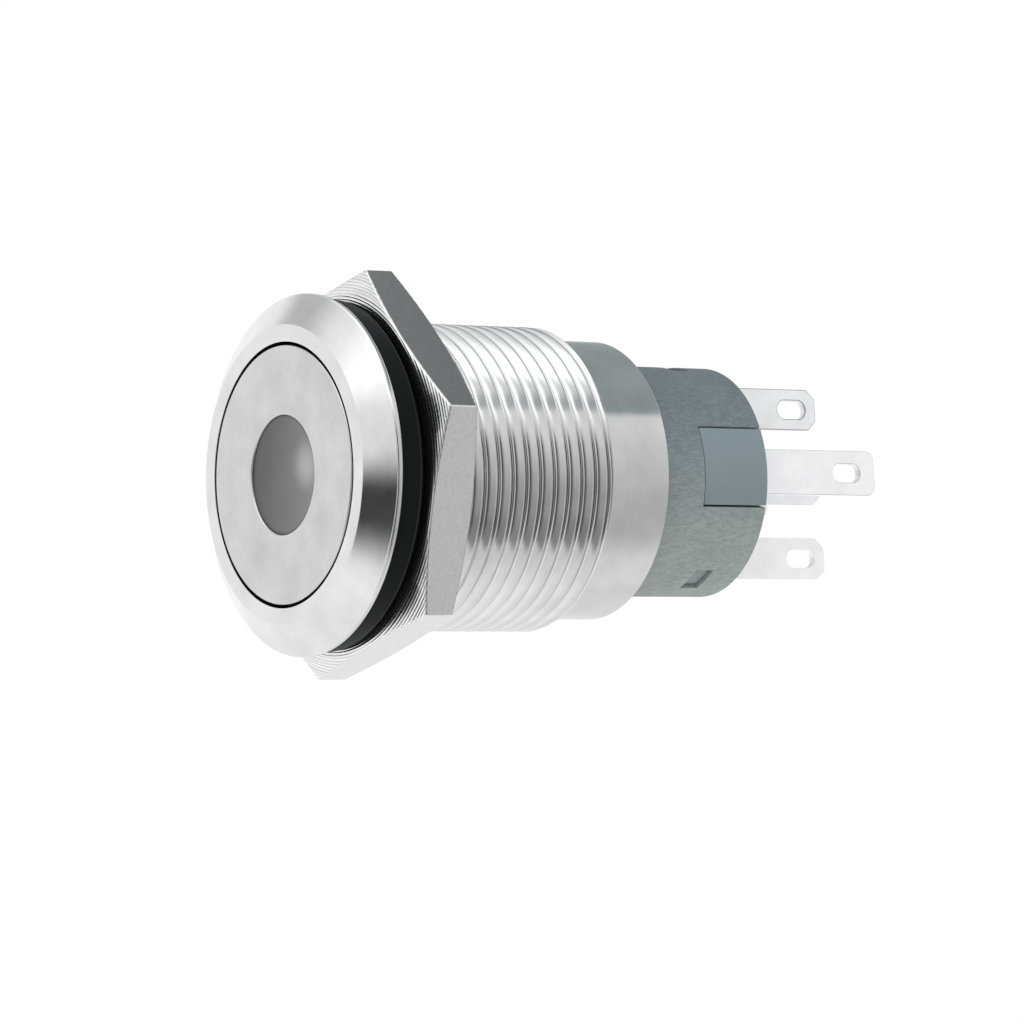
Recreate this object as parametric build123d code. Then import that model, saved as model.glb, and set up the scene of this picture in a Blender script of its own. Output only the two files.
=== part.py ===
from build123d import *
import math
import os

# Panel-mounted metal push button with a lit dot, millimetres.
# The axis is Y: the button faces -Y, the terminals point to +Y.
# Y = 0 is the underside of the head, the plane that clamps the panel.

# Head and barrel of the shell
head_radius = 11.0
head_thickness = 1.65
head_rim_land = 0.365
head_edge_round = 0.08
head_flat_radius = 9.05
thread_radius = 9.45
thread_length = 16.33
thread_chamfer = 0.3
thread_pitch = 1.0
thread_depth = 0.28
thread_root_width = 0.4
thread_start = 1.0
tail_radius = 8.68
tail_length = 4.5
tail_edge_bevel = 0.12
front_bore_clearance = 0.18
web_front = 4.6
web_thickness = 2.2
barrel_wall = 0.68
lip_thickness = 0.5
seal_groove_width = 1.1
seal_groove_depth = 0.85
seal_section_radius = 0.42
seal_section_sides = 8
seal_gap = 0.03

# Button cap and its stem
cap_radius = 7.85
cap_disc_thickness = 2.0
cap_edge_chamfer = 0.12
skirt_wall = 0.75
skirt_length = 0.9
stem_radius = 5.0
stem_bore_radius = 4.25
stem_end = 9.0
travel = 2.5
running_gap = 0.05

# Dot lens
dot_radius = 3.6
dot_clearance = 0.02
dot_recess = 0.16
dot_hollow_depth = 0.12
dot_seat_depth = 1.0
lens_flange_thickness = 1.0
lens_pipe_radius = 3.0
lens_pipe_end = 2.2
lens_pipe_dome = 0.5
seat_clearance = 0.05

# Clip behind the web
ring_thickness = 0.6
ring_outer_radius = 6.2
ring_groove_depth = 0.35
ring_opening = 3.2
ring_lug_radius = 0.75

# Return spring, a cone between cap and web
spring_wire_radius = 0.24
spring_wire_sides = 6
spring_stem_gap = 0.41
spring_skirt_gap = 0.16
spring_turns = 3

# Panel gasket and nut
gasket_width = 1.2
gasket_thickness = 1.97
gasket_bevel = 0.32
nut_gap = 0.06
nut_flats = 22.0
nut_thickness = 3.0
nut_bore_clearance = 0.05
nut_face_radius = 10.75
nut_corner_chamfer = 0.55
nut_turn = 12.2
nut_mouth_chamfer = 0.5

# Plunger and moving contact
plunger_spigot = 1.8
plunger_flange_radius = 6.0
plunger_flange_thickness = 0.6
plunger_tube_radius = 4.2
plunger_tip_radius = 3.85
plunger_bore_radius = 3.3
plunger_tip_length = 1.2
contact_ring_front = 14.0
contact_ring_thickness = 0.4
contact_ring_radius = 6.1
rivet_radius = 0.55
rivet_height = 0.4
rivet_inset = 0.6
contact_gap = 0.05

# Contact spring between the ring and the common terminal
feed_wire_radius = 0.2
feed_spring_radius = 4.35
feed_spring_turns = 3

# Contact housing
sleeve_radius = 7.234
sleeve_wall = 0.83
body_clearance = 0.1
body_wall = 0.55
housing_front_gap = 0.8
housing_seal_width = 0.8
housing_seal_bevel = 0.15
shoulder_depth = 0.8
sleeve_end = 29.32
sleeve_rim_round = 0.15
notch_angle = 1.2
notch_half_angle = 20.5
notch_start = 24.55
window_start = 25.8
window_width = 1.3
upper_window_angle = 90.0
upper_window_half_angle = 21.5
lower_window_angle = 295.0
lower_window_half_angle = 8.5

# Terminal base
base_clearance = 0.05
boss_strip_gap = 0.3
boss_standoff = 2.85
boss_height = 3.1
key_gap = 0.14
key_front_gap = 0.04
key_root = 0.5
lug_gap = 0.15
lug_drop = 0.25

# Terminal blades
blade_thickness = 0.5
blade_end = 38.6
column_margin = 0.274
column_width = 2.64
column_corner = 0.6
side_margin = 0.624
side_width = 2.82
side_corner = 0.6
side_root = 2.3
slot_length = 2.2
slot_width = 1.2
column_slot_margin = 0.8
side_slot_margin = 1.1
slot_fit = 0.04
strip_neck = 0.83
strip_wall_gap = 0.25
strip_width = 0.75
strip_slant = 0.3
hook_spring_gap = 0.3
hook_depth = 1.0
feed_ring_thickness = 0.4
feed_ring_bore = 3.0
feed_leg_edge = 0.4
feed_leg_width = 1.2
feed_bar_setback = 0.7
feed_bar_depth = 1.2

# Lamp and its wiring
lamp_radius = 2.5
lamp_top = 5.3
lamp_flange_radius = 2.9
lamp_flange_thickness = 1.0
lamp_base = 11.6
holder_radius = 2.9
holder_gap = 0.2
lead_radius = 0.25
lead_pitch = 2.54
lead_drop = 0.8
lead_bend = 0.6
lead_room = 0.2
resistor_radius = 0.6
resistor_length = 2.2
resistor_offset = 3.9
resistor_bevel = 0.12

# How far a cutter reaches past what it cuts
overcut = 1.0

# Places that follow from the sizes above
head_front = -head_thickness
cap_back = head_front + cap_disc_thickness
spring_small_radius = stem_radius + spring_stem_gap + spring_wire_radius
spring_large_radius = cap_radius - skirt_wall - spring_skirt_gap - spring_wire_radius
front_bore_radius = cap_radius + front_bore_clearance
web_back = web_front + web_thickness
web_bore_radius = stem_radius + running_gap
tail_end = thread_length + tail_length
body_bore_radius = tail_radius - barrel_wall
body_radius = body_bore_radius - body_clearance
body_inner_radius = body_radius - body_wall
lip_radius = sleeve_radius + body_clearance
lip_front = tail_end - lip_thickness
sleeve_bore_radius = sleeve_radius - sleeve_wall
gasket_radius = thread_radius + seat_clearance + gasket_width
nut_front = gasket_thickness + nut_gap
contact_ring_back = contact_ring_front + contact_ring_thickness
no_rivet_front = contact_ring_back + travel + contact_gap
boss_front = no_rivet_front + rivet_height + boss_standoff
base_front = boss_front + boss_height
feed_ring_front = boss_front - feed_ring_thickness
feed_bar_back = base_front - feed_bar_setback
feed_bar_front = feed_bar_back - feed_bar_depth
holder_end = feed_bar_front - holder_gap
lead_turn = holder_end + lead_drop
side_start = base_front - side_root
base_radius = sleeve_bore_radius - base_clearance
side_offset = sleeve_bore_radius - side_margin
column_pitch = sleeve_bore_radius - column_margin - column_width / 2
tab_inner = column_pitch - column_width / 2
tab_outer = column_pitch + column_width / 2
strip_inner = tab_outer - strip_neck
strip_reach = body_inner_radius - strip_wall_gap
hook_inner = feed_spring_radius + feed_wire_radius + hook_spring_gap
rivet_offset = hook_inner + rivet_inset
boss_radius = strip_inner - boss_strip_gap
feed_leg_outer = boss_radius - feed_leg_edge
feed_leg_inner = feed_leg_outer - feed_leg_width
body_step = lip_front - shoulder_depth
blade_half = blade_thickness / 2
windows = [(upper_window_angle, upper_window_half_angle), (lower_window_angle, lower_window_half_angle)]


def turned(points):
    """A solid of revolution about the Y axis from (radius, y) points."""
    return revolve(Plane.XY * make_face(Polyline(*points, close=True)), Axis.Y)


def ring(outer, inner, start, end):
    return turned([(inner, start), (outer, start), (outer, end), (inner, end)])


def sector(outer, inner, start, end, middle, half_angle, side_gap=0):
    """A ring's stretch about the angle middle, counted from +X towards +Z."""
    reach = 2 * outer
    angles = [math.radians(middle - half_angle), math.radians(middle + half_angle)]
    corners = [(reach * math.cos(a), reach * math.sin(a)) for a in angles]
    wedge_plane = Plane(origin=(0, start, 0), x_dir=(1, 0, 0), z_dir=(0, -1, 0))
    wedge_face = make_face(Polyline((0, 0), *corners, close=True))
    if side_gap:
        wedge_face = offset(wedge_face, -side_gap, kind=Kind.INTERSECTION)
    wedge = extrude(wedge_plane * wedge_face, amount=-(end - start))
    return ring(outer, inner, start, end) & wedge


def along_y(sketch, start, length):
    """A sketch, drawn with X to the right and Z up, carried along +Y."""
    plane = Plane(origin=(0, start, 0), x_dir=(1, 0, 0), z_dir=(0, -1, 0))
    return extrude(plane * sketch, amount=-length)


def sheet(points, x_middle):
    """A flat stamping in the plane of Y and Z, from (z, y) points."""
    plane = Plane(origin=(x_middle - blade_half, 0, 0), x_dir=(0, 1, 0), z_dir=(1, 0, 0))
    outline = make_face(Polyline(*[(y, z) for z, y in points], close=True))
    return extrude(plane * outline, amount=blade_thickness)


def solder_slot(x_middle, z_middle, margin):
    """The cutter for the hole near a blade's end."""
    y_middle = blade_end - margin - slot_length / 2
    plane = Plane(origin=(x_middle - blade_thickness, y_middle, z_middle), x_dir=(0, 1, 0), z_dir=(1, 0, 0))
    return extrude(plane * SlotOverall(slot_length, slot_width), amount=2 * blade_thickness)


def blade_slot(x_middle, z_low, z_high, start):
    """The cutter for the slot that a blade stands in, open to the rear."""
    size = (blade_thickness + 2 * slot_fit, sleeve_end - start + overcut, z_high - z_low + 2 * slot_fit)
    return Pos(x_middle, start + size[1] / 2, (z_low + z_high) / 2) * Box(*size)


# Thread: one ring groove for each pitch, from the gasket's seat to the thread's end
root_half = thread_root_width / 2
thread_room = thread_length - thread_chamfer - root_half - thread_start
thread_grooves = []
for turn in range(int(thread_room / thread_pitch) + 1):
    root = thread_start + turn * thread_pitch
    thread_grooves += [
        (thread_radius, root - root_half),
        (thread_radius - thread_depth, root),
        (thread_radius, root + root_half),
    ]

# Shell: head, barrel, web and tail turned from one bar, with the tail's lip rolled in
shell = turned([
    (front_bore_radius, head_front),
    (head_flat_radius, head_front),
    (head_radius, -head_rim_land),
    (head_radius, 0),
    (thread_radius, 0),
    *thread_grooves,
    (thread_radius, thread_length - thread_chamfer),
    (thread_radius - thread_chamfer, thread_length),
    (tail_radius, thread_length),
    (tail_radius, tail_end - tail_edge_bevel),
    (tail_radius - tail_edge_bevel, tail_end),
    (lip_radius, tail_end),
    (lip_radius, lip_front),
    (body_bore_radius, lip_front),
    (body_bore_radius, web_back),
    (web_bore_radius, web_back),
    (web_bore_radius, web_front),
    (front_bore_radius, web_front),
])
seal_groove_radius = web_bore_radius + seal_groove_depth
groove_front = web_front + (web_thickness - seal_groove_width) / 2
shell -= ring(seal_groove_radius, stem_radius, groove_front, groove_front + seal_groove_width)
head_edges = [e for e in shell.edges().filter_by(GeomType.CIRCLE)
              if abs(e.radius - head_flat_radius) < 0.01 and abs(e.center().Y - head_front) < 0.01]
shell = fillet(head_edges, head_edge_round)

# Gasket: a moulded rubber ring, bevelled where it meets the panel
panel_gasket = turned([
    (thread_radius + seat_clearance, 0),
    (gasket_radius, 0),
    (gasket_radius, gasket_thickness - gasket_bevel),
    (gasket_radius - gasket_bevel, gasket_thickness),
    (thread_radius + seat_clearance, gasket_thickness),
])

# Nut: hexagon bar, turned to a round face on both sides
nut_bore = thread_radius + nut_bore_clearance
nut_corner_radius = nut_flats / 2 / math.cos(math.radians(30))
nut_back = nut_front + nut_thickness
hexagon = RegularPolygon(nut_corner_radius, 6, rotation=nut_turn)
nut_blank = along_y(hexagon, nut_front, nut_thickness)
nut_envelope = turned([
    (0, nut_front),
    (nut_face_radius, nut_front),
    (nut_corner_radius, nut_front + nut_corner_chamfer),
    (nut_corner_radius, nut_back - nut_corner_chamfer),
    (nut_face_radius, nut_back),
    (0, nut_back),
])
nut_hole = turned([
    (0, nut_front),
    (nut_bore + nut_mouth_chamfer, nut_front),
    (nut_bore, nut_front + nut_mouth_chamfer),
    (nut_bore, nut_back - nut_mouth_chamfer),
    (nut_bore + nut_mouth_chamfer, nut_back),
    (0, nut_back),
])
hex_nut = (nut_blank & nut_envelope) - nut_hole

# Button cap: disc, short guiding skirt and hollow stem in one piece
ring_groove_front = web_back + running_gap
ring_seat_radius = stem_radius - ring_groove_depth
dot_hole_radius = dot_radius + dot_clearance
dot_seat = head_front + dot_seat_depth
button_cap = turned([
    (dot_hole_radius, head_front),
    (cap_radius - cap_edge_chamfer, head_front),
    (cap_radius, head_front + cap_edge_chamfer),
    (cap_radius, cap_back + skirt_length),
    (cap_radius - skirt_wall, cap_back + skirt_length),
    (cap_radius - skirt_wall, cap_back),
    (stem_radius, cap_back),
    (stem_radius, ring_groove_front),
    (ring_seat_radius, ring_groove_front),
    (ring_seat_radius, ring_groove_front + ring_thickness),
    (stem_radius, ring_groove_front + ring_thickness),
    (stem_radius, stem_end),
    (stem_bore_radius, stem_end),
    (stem_bore_radius, dot_seat),
    (dot_hole_radius, dot_seat),
])


def cap_arc(radius, rim, crown):
    """Half of a shallow dome's profile, from its rim to its crown on the axis."""
    rise = crown - rim
    ball = (radius ** 2 + rise ** 2) / (2 * rise)
    middle = crown - ball + math.copysign(math.sqrt(ball ** 2 - radius ** 2 / 4), rise)
    return ThreePointArc((radius, rim), (radius / 2, middle), (0, crown))


# Lens: stepped disc with a shallow hollow in front and a light pipe behind
lens_front = head_front + dot_recess
lens_hollow = lens_front + dot_hollow_depth
lens_crown = lens_pipe_end + lens_pipe_dome
flange_back = dot_seat + lens_flange_thickness
lens_flange_radius = stem_bore_radius - seat_clearance
lens_steps = Polyline(
    (lens_pipe_radius, lens_pipe_end),
    (lens_pipe_radius, flange_back),
    (lens_flange_radius, flange_back),
    (lens_flange_radius, dot_seat),
    (dot_radius, dot_seat),
    (dot_radius, lens_front),
)
lens_outline = [
    Line((0, lens_hollow), (0, lens_crown)),
    cap_arc(lens_pipe_radius, lens_pipe_end, lens_crown),
    lens_steps,
    cap_arc(dot_radius, lens_front, lens_hollow),
]
dot_lens = revolve(make_face(lens_outline), Axis.Y)

# O-ring in the web's groove, round the stem, its round section drawn with few sides
seal_radius = stem_radius + seal_gap + seal_section_radius
seal_middle = groove_front + seal_groove_width / 2
seal_section = RegularPolygon(seal_section_radius, seal_section_sides)
stem_seal = revolve(Plane.XY * Pos(seal_radius, seal_middle) * seal_section, Axis.Y)

# Clip in the stem's groove: open ring with two ears
clip_face = Circle(ring_outer_radius) - Circle(ring_seat_radius)
clip_face -= Pos(0, ring_outer_radius) * Rectangle(ring_opening, 2 * ring_outer_radius)
ear_reach = (ring_outer_radius + ring_seat_radius) / 2
ear_angle = math.degrees(math.asin((ring_opening / 2 + ring_lug_radius) / ear_reach))
for side in (-1, 1):
    ear = Rot(0, 0, side * ear_angle) * Pos(0, ear_reach) * Circle(ring_lug_radius)
    clip_face += ear - Circle(ring_seat_radius)
retaining_ring = along_y(clip_face, ring_groove_front, ring_thickness)


def coil(wire_radius, start_radius, end_radius, turns, start, end):
    """A spring of few-sided wire about the Y axis, between the two seats that hold its ends."""
    low = start + wire_radius
    height = end - wire_radius - low
    cone = math.degrees(math.atan2(end_radius - start_radius, height))
    path = Helix(height / turns, height, start_radius, cone_angle=cone)
    wire_section = Plane(origin=path @ 0, z_dir=path % 0) * RegularPolygon(wire_radius, spring_wire_sides)
    upright = sweep(wire_section, path=path, is_frenet=True)
    return Pos(0, low, 0) * Rot(-90, 0, 0) * upright


# Springs: cone under the cap, straight coil behind the moving contact
return_spring = coil(
    spring_wire_radius, spring_small_radius, spring_large_radius, spring_turns, cap_back, web_front
)
contact_spring = coil(
    feed_wire_radius, feed_spring_radius, feed_spring_radius, feed_spring_turns,
    contact_ring_back, feed_ring_front
)

# Plunger: spigot in the stem, flange against its end, tube that carries the moving contact
plunger = turned([
    (plunger_bore_radius, stem_end - plunger_spigot),
    (stem_bore_radius - seat_clearance, stem_end - plunger_spigot),
    (stem_bore_radius - seat_clearance, stem_end),
    (plunger_flange_radius, stem_end),
    (plunger_flange_radius, stem_end + plunger_flange_thickness),
    (plunger_tube_radius, stem_end + plunger_flange_thickness),
    (plunger_tube_radius, contact_ring_front),
    (plunger_tip_radius, contact_ring_front),
    (plunger_tip_radius, contact_ring_back + plunger_tip_length),
    (plunger_bore_radius, contact_ring_back + plunger_tip_length),
])
moving_contact = ring(contact_ring_radius, plunger_tip_radius, contact_ring_front, contact_ring_back)

# Contact housing: wide cup inside the shell, narrow sleeve behind it
housing_front = web_back + housing_front_gap
contact_housing = turned([
    (body_inner_radius, housing_front),
    (body_radius, housing_front),
    (body_radius, lip_front),
    (sleeve_radius, lip_front),
    (sleeve_radius, sleeve_end - sleeve_rim_round),
    (sleeve_radius - sleeve_rim_round, sleeve_end),
    (sleeve_bore_radius, sleeve_end),
    (sleeve_bore_radius, body_step),
    (body_inner_radius, body_step),
])
cut_reach = sleeve_radius + overcut
cut_floor = sleeve_bore_radius - overcut
notch_end = sleeve_end + overcut
window_end = window_start + window_width
contact_housing -= sector(cut_reach, cut_floor, notch_start, notch_end, notch_angle, notch_half_angle)
for angle, half_angle in windows:
    contact_housing -= sector(cut_reach, cut_floor, window_start, window_end, angle, half_angle)

# Flat seal between the housing's front edge and the web
housing_seal_radius = body_bore_radius - seat_clearance
housing_seal = ring(housing_seal_radius, housing_seal_radius - housing_seal_width, web_back, housing_front)
housing_seal = chamfer(housing_seal.edges().filter_by(GeomType.CIRCLE), housing_seal_bevel)

# Terminal base: disc with a front boss, the key in the notch and a lug in each window
terminal_base = turned([
    (0, boss_front),
    (boss_radius, boss_front),
    (boss_radius, base_front),
    (base_radius, base_front),
    (base_radius, sleeve_end),
    (0, sleeve_end),
])
key_floor = base_radius - key_root
key_start = notch_start + key_front_gap
lug_start = window_start + lug_gap
lug_end = window_end - lug_gap
terminal_base += sector(
    sleeve_radius, key_floor, key_start, sleeve_end, notch_angle, notch_half_angle, key_gap
)
for angle, half_angle in windows:
    terminal_base += sector(
        sleeve_radius - lug_drop, key_floor, lug_start, lug_end, angle, half_angle, lug_gap
    )
terminal_base -= ring(holder_radius + seat_clearance, 0, boss_front, holder_end)

# Switch terminals: stampings whose inner ends carry the fixed contacts
strip_bend = body_step - strip_width


def column_blade(points, z_middle):
    """A blade of the middle column with its clipped corners and its solder slot."""
    z_low = z_middle - column_width / 2
    z_high = z_middle + column_width / 2
    tip = [
        (z_low, blade_end - column_corner),
        (z_low + column_corner, blade_end),
        (z_high - column_corner, blade_end),
        (z_high, blade_end - column_corner),
    ]
    return sheet(tip + points, 0) - solder_slot(0, z_middle, column_slot_margin)


nc_front = contact_ring_front - rivet_height - hook_depth
terminal_nc = column_blade([
    (tab_outer, body_step + strip_slant / 3),
    (strip_reach, strip_bend),
    (strip_reach, nc_front),
    (hook_inner, nc_front),
    (hook_inner, nc_front + hook_depth),
    (strip_reach - strip_width, nc_front + hook_depth),
    (strip_reach - strip_width, strip_bend),
    (strip_inner, body_step + strip_slant),
    (strip_inner, base_front),
    (tab_inner, base_front),
], column_pitch)
no_front = no_rivet_front + rivet_height
terminal_no = column_blade([
    (tab_outer, no_front),
    (hook_inner, no_front),
    (hook_inner, no_front + hook_depth),
    (strip_inner, no_front + hook_depth),
    (strip_inner, base_front),
    (tab_inner, base_front),
], column_pitch)
terminal_no = mirror(terminal_no, Plane.XY)
terminal_common = column_blade([
    (column_width / 2, feed_bar_back),
    (feed_leg_outer, feed_bar_back),
    (feed_leg_outer, boss_front),
    (feed_leg_inner, boss_front),
    (feed_leg_inner, feed_bar_front),
    (-feed_leg_inner, feed_bar_front),
    (-feed_leg_inner, boss_front),
    (-feed_leg_outer, boss_front),
    (-feed_leg_outer, feed_bar_back),
    (-column_width / 2, feed_bar_back),
], 0)
terminal_common += ring(boss_radius, feed_ring_bore, feed_ring_front, boss_front)


def rivet(z_middle, start):
    """A silver contact on a stamping's hook."""
    return along_y(Pos(0, z_middle) * Circle(rivet_radius), start, rivet_height)


contact_nc = rivet(rivet_offset, contact_ring_front - rivet_height)
contact_no = rivet(-rivet_offset, no_rivet_front)


def lamp_blade(x_middle):
    """A side blade with rounded corners and its solder slot."""
    plane = Plane(origin=(x_middle - blade_half, 0, 0), x_dir=(0, 1, 0), z_dir=(1, 0, 0))
    length = blade_end - side_start
    outline = Pos(side_start + length / 2, 0) * Rectangle(length, side_width)
    outline = fillet(outline.vertices().group_by(Axis.X)[-1], side_corner)
    return extrude(plane * outline, amount=blade_thickness) - solder_slot(x_middle, 0, side_slot_margin)


lamp_terminal_plus = lamp_blade(side_offset)
lamp_terminal_minus = lamp_blade(-side_offset)

# Slots in the terminal base for the five blades and the common terminal's bar
side_half = side_width / 2
terminal_base -= blade_slot(0, tab_inner, tab_outer, boss_front - overcut)
terminal_base -= blade_slot(0, -tab_outer, -tab_inner, boss_front - overcut)
terminal_base -= blade_slot(0, -column_width / 2, column_width / 2, holder_end)
for side in (-1, 1):
    terminal_base -= blade_slot(side * side_offset, -side_half, side_half, base_front - overcut)
bar_size = (blade_thickness + 2 * slot_fit, feed_bar_back - boss_front + slot_fit, 2 * (feed_leg_outer + slot_fit))
terminal_base -= Pos(0, boss_front + bar_size[1] / 2, 0) * Box(*bar_size)

# Lamp post, lamp, leads and resistor
lead_offset = lead_pitch / 2
lamp_holder = ring(holder_radius, 0, lamp_base, holder_end)
lead_bore = Circle(lead_radius + seat_clearance)
for side in (-1, 1):
    lamp_holder -= along_y(Pos(side * lead_offset, 0) * lead_bore, lamp_base, holder_end - lamp_base)
lamp_steps = Polyline(
    (0, lamp_top),
    (0, lamp_base),
    (lamp_flange_radius, lamp_base),
    (lamp_flange_radius, lamp_base - lamp_flange_thickness),
    (lamp_radius, lamp_base - lamp_flange_thickness),
    (lamp_radius, lamp_top + lamp_radius),
)
lamp_dome = cap_arc(lamp_radius, lamp_top + lamp_radius, lamp_top)
led_lamp = revolve(make_face([lamp_steps, lamp_dome]), Axis.Y)
lead_end = side_offset - blade_half


def wire(points):
    """Round wire along straight runs with bends of one radius."""
    path = FilletPolyline(*points, radius=lead_bend) if len(points) > 2 else Line(*points)
    section = Plane(origin=path @ 0, z_dir=path % 0) * Circle(lead_radius)
    return sweep(section, path=path)


resistor_inner = resistor_offset - resistor_length / 2
resistor_outer = resistor_offset + resistor_length / 2
lamp_lead_minus = wire([(-lead_offset, lamp_base, 0), (-lead_offset, lead_turn, 0), (-lead_end, lead_turn, 0)])
lamp_lead_plus = [
    wire([(lead_offset, lamp_base, 0), (lead_offset, lead_turn, 0), (resistor_inner, lead_turn, 0)]),
    wire([(resistor_outer, lead_turn, 0), (lead_end, lead_turn, 0)]),
]
resistor_plane = Plane(origin=(resistor_inner, lead_turn, 0), x_dir=(0, 1, 0), z_dir=(1, 0, 0))
lamp_resistor = extrude(resistor_plane * Circle(resistor_radius), amount=resistor_length)
lamp_resistor = chamfer(lamp_resistor.edges().filter_by(GeomType.CIRCLE), resistor_bevel)
trough_depth = lead_turn + lead_radius + lead_room - holder_end
trough_size = (2 * base_radius, trough_depth, 2 * (lead_radius + lead_room))
terminal_base -= Pos(0, holder_end + trough_depth / 2, 0) * Box(*trough_size)
resistor_room = resistor_radius + lead_room
terminal_base -= Pos(resistor_offset, lead_turn, 0) * Box(
    resistor_length + 2 * lead_room, 2 * resistor_room, 2 * resistor_room
)

nodes = {
    "shell": shell,
    "panel_gasket": panel_gasket,
    "hex_nut": hex_nut,
    "button_cap": button_cap,
    "dot_lens": dot_lens,
    "stem_seal": stem_seal,
    "retaining_ring": retaining_ring,
    "return_spring": return_spring,
    "plunger": plunger,
    "moving_contact": moving_contact,
    "contact_spring": contact_spring,
    "contact_housing": contact_housing,
    "housing_seal": housing_seal,
    "terminal_base": terminal_base,
    "terminal_nc": terminal_nc,
    "terminal_common": terminal_common,
    "terminal_no": terminal_no,
    "contact_nc": contact_nc,
    "contact_no": contact_no,
    "lamp_terminal_plus": lamp_terminal_plus,
    "lamp_terminal_minus": lamp_terminal_minus,
    "lamp_holder": lamp_holder,
    "led_lamp": led_lamp,
    "lamp_lead_plus": lamp_lead_plus,
    "lamp_lead_minus": lamp_lead_minus,
    "lamp_resistor": lamp_resistor,
}

os.makedirs("parts", exist_ok=True)
for name, piece in nodes.items():
    solids = piece if isinstance(piece, list) else [piece]
    loose = [s for item in solids for s in item.solids()]
    kept = loose[0] if len(loose) == 1 else Compound(children=loose)
    export_step(kept, f"parts/{name}.step")
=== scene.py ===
import bpy
import math
from mathutils import Matrix, Vector


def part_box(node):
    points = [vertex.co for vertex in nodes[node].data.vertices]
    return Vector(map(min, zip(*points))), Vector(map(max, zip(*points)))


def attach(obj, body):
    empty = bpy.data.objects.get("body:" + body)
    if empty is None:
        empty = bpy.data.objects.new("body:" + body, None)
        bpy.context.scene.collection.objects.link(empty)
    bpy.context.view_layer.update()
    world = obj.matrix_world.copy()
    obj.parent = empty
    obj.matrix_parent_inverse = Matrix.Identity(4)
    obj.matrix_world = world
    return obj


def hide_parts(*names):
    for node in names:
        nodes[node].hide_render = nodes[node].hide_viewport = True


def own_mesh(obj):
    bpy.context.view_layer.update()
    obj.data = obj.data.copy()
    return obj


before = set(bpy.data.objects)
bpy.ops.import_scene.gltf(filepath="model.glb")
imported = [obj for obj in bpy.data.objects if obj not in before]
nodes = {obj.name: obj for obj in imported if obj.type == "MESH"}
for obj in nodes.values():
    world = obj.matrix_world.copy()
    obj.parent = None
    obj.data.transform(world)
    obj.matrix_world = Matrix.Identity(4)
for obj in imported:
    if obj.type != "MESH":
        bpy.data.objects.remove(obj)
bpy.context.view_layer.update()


# Camera: a long lens in front of the button's right-hand side, a little below its axis.
# The button faces -Y with its column of blades upright, and the camera is rolled a little.
mm = 0.001
view_side = math.radians(56.098)
view_rise = math.radians(-5.964)
view_roll = math.radians(-3.127)
view_target = Vector((0, 15, 0)) * mm
view_offset = Vector((0.004, -2.026, 343.8)) * mm
lens_length = 195.05
sensor_width = 36.0
near_clip = 10 * mm
side_turn = Matrix.Rotation(view_side, 3, "Z")
rise_turn = Matrix.Rotation(math.radians(90) - view_rise, 3, "X")
view_turn = side_turn @ rise_turn @ Matrix.Rotation(view_roll, 3, "Z")
bpy.ops.object.select_all(action="DESELECT")
bpy.ops.object.camera_add(
    location=view_target + view_turn @ view_offset, rotation=view_turn.to_euler()
)
camera = bpy.context.object
camera.name = "camera"
camera.data.lens = lens_length
camera.data.sensor_width = sensor_width
camera.data.clip_start = near_clip
bpy.context.scene.camera = camera
bpy.context.scene.view_settings.view_transform = "Standard"


# Studio: a white tent with dark flags, which polished steel needs to show its form.
# It is painted on the world, square to the button apart from a small turn about its axis.
# Gloss alone shows the tent. The plastic gets an even light, and the backdrop is plain white.
class Wire:
    """A socket of a node tree. Arithmetic on it adds Math nodes."""

    def __init__(self, tree, socket):
        self.tree = tree
        self.socket = socket

    def maths(self, operation, *others, clamp=False):
        settings = {"operation": operation, "use_clamp": clamp}
        return self.tree.add("Math", settings, dict(enumerate([self, *others])))

    def __add__(self, other):
        return self.maths("ADD", other)

    def __sub__(self, other):
        return self.maths("SUBTRACT", other)

    def __mul__(self, other):
        return self.maths("MULTIPLY", other)

    def __truediv__(self, other):
        return self.maths("DIVIDE", other)

    def __pow__(self, other):
        return self.maths("POWER", other)

    def __abs__(self):
        return self.maths("ABSOLUTE")

    def __rsub__(self, other):
        return (self * -1.0) + other

    __radd__ = __add__
    __rmul__ = __mul__

    def held(self):
        """The value kept between 0 and 1."""
        return self.maths("MINIMUM", 1.0, clamp=True)

    def rise(self, start, end):
        """0 below start and 1 above end, with a soft step between them."""
        settings = {"interpolation_type": "SMOOTHSTEP"}
        limits = {"Value": self, "From Min": start, "From Max": end}
        return self.tree.add("MapRange", settings, limits)

    def fall(self, start, end):
        """1 below start and 0 above end."""
        return 1.0 - self.rise(start, end)

    def beside(self, *names):
        """Outputs of the same node, by name."""
        return [Wire(self.tree, self.socket.node.outputs[name]) for name in names]


# The Mix node names several sockets alike, so its colour sockets are called by place
mix_share, mix_first, mix_second, mix_result = 0, 6, 7, 2


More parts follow.
